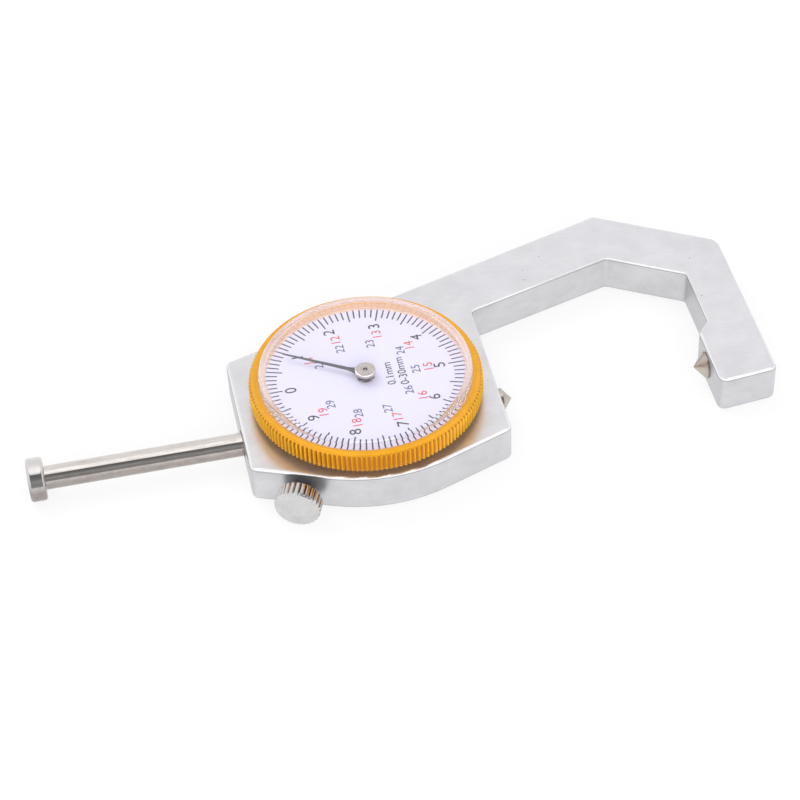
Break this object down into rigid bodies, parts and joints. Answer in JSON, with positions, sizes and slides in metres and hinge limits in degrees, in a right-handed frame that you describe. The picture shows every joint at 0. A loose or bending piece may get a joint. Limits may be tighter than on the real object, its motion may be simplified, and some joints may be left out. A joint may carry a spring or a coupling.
{
  "type": "dial thickness gauge",
  "caption": "Hand gauge with a C-shaped frame: a spring-loaded rack spindle closes its cone point on an anvil and turns a pointer under a round knurled dial; a thumb screw locks it.",
  "frame": {"origin": "on the dial's axis, in the plane of the flat back that the gauge lies on", "axes": "+X along the spindle from the pull button to the anvil, +Y towards the arm, +Z out of the dial"},
  "size_m": [0.1218, 0.0552, 0.0134],
  "materials": {
    "frame_metal": "satin, lightly brushed silver",
    "spindle_steel": "ground and polished",
    "tip_steel": "hardened, finely turned",
    "bright_nickel": "bright nickel plating",
    "gold_anodised": "gold anodised, gloss",
    "movement_brass": "fine machined",
    "spring_steel": "blued spring steel",
    "screw_steel": "plain steel",
    "dial_white": "matt white with printed scale",
    "needle_grey": "matt dark grey",
    "clear_acrylic": "clear, polished"
  },
  "bodies": {
    "frame_body": {"frame": "frame_metal", "back_cover": "frame_metal", "cover_screw_1": "screw_steel", "cover_screw_2": "screw_steel", "cover_screw_3": "screw_steel", "rear_bush": "movement_brass", "front_bush": "movement_brass", "anvil_tip": "tip_steel", "movement_plate": "movement_brass", "plate_screw_1": "screw_steel", "plate_screw_2": "screw_steel", "plate_screw_3": "screw_steel", "lower_bridge": "movement_brass", "bridge_pillar_left": "movement_brass", "bridge_pillar_right": "movement_brass", "bridge_screw_left": "screw_steel", "bridge_screw_right": "screw_steel", "spiral_spring": "spring_steel", "spring_stud": "movement_brass", "gear_cock": "movement_brass", "cock_screw_left": "screw_steel", "cock_screw_right": "screw_steel", "guide_shoe": "movement_brass", "bezel_retaining_ring": "spring_steel"},
    "spindle_body": {"spindle": "spindle_steel", "contact_tip": "tip_steel", "pull_button": "bright_nickel"},
    "pointer_body": {"centre_arbor": "spindle_steel", "centre_gear": "movement_brass", "pointer_hub": "bright_nickel", "pointer_needle": "needle_grey"},
    "take_up_body": {"take_up_gear": "movement_brass", "take_up_staff": "spindle_steel"},
    "bezel_body": {"bezel": "gold_anodised", "crystal": "clear_acrylic", "dial_plate": "dial_white"},
    "lock_pad_body": {"lock_pad": "movement_brass"},
    "lock_screw_body": {"lock_screw": "bright_nickel"}
  },
  "joints": [
    {"name": "spindle_slide", "type": "slide", "parent": "frame_body", "child": "spindle_body", "axis": [1, 0, 0], "range_m": [0, 0.03086], "stiffness_N_per_m": 16, "springref_m": 0.075},
    {"name": "pointer_turn", "type": "hinge", "parent": "frame_body", "child": "pointer_body", "pos_m": [0, 0, 0.0033], "axis": [0, 0, 1], "range_deg": [0, 1112]},
    {"name": "take_up_turn", "type": "hinge", "parent": "frame_body", "child": "take_up_body", "pos_m": [0, 0.00788, 0.007], "axis": [0, 0, 1], "range_deg": [-445, 0]},
    {"name": "bezel_turn", "type": "hinge", "parent": "frame_body", "child": "bezel_body", "pos_m": [0, 0, 0.0095], "axis": [0, 0, 1], "continuous": true},
    {"name": "lock_pad_slide", "type": "slide", "parent": "frame_body", "child": "lock_pad_body", "axis": [-0.3746, -0.9272, 0], "range_m": [0, 0.00045]},
    {"name": "lock_screw_turn", "type": "hinge", "parent": "lock_pad_body", "child": "lock_screw_body", "pos_m": [-0.01348, -0.01538, 0.0033], "axis": [-0.3746, -0.9272, 0], "range_deg": [0, 361]}
  ],
  "couplings": [
    {"joint": "pointer_turn", "follows": "spindle_slide", "rad_per_m": 628.32},
    {"joint": "take_up_turn", "follows": "spindle_slide", "rad_per_m": -251.33},
    {"joint": "lock_screw_turn", "follows": "lock_pad_slide", "rad_per_m": 13963}
  ]
}
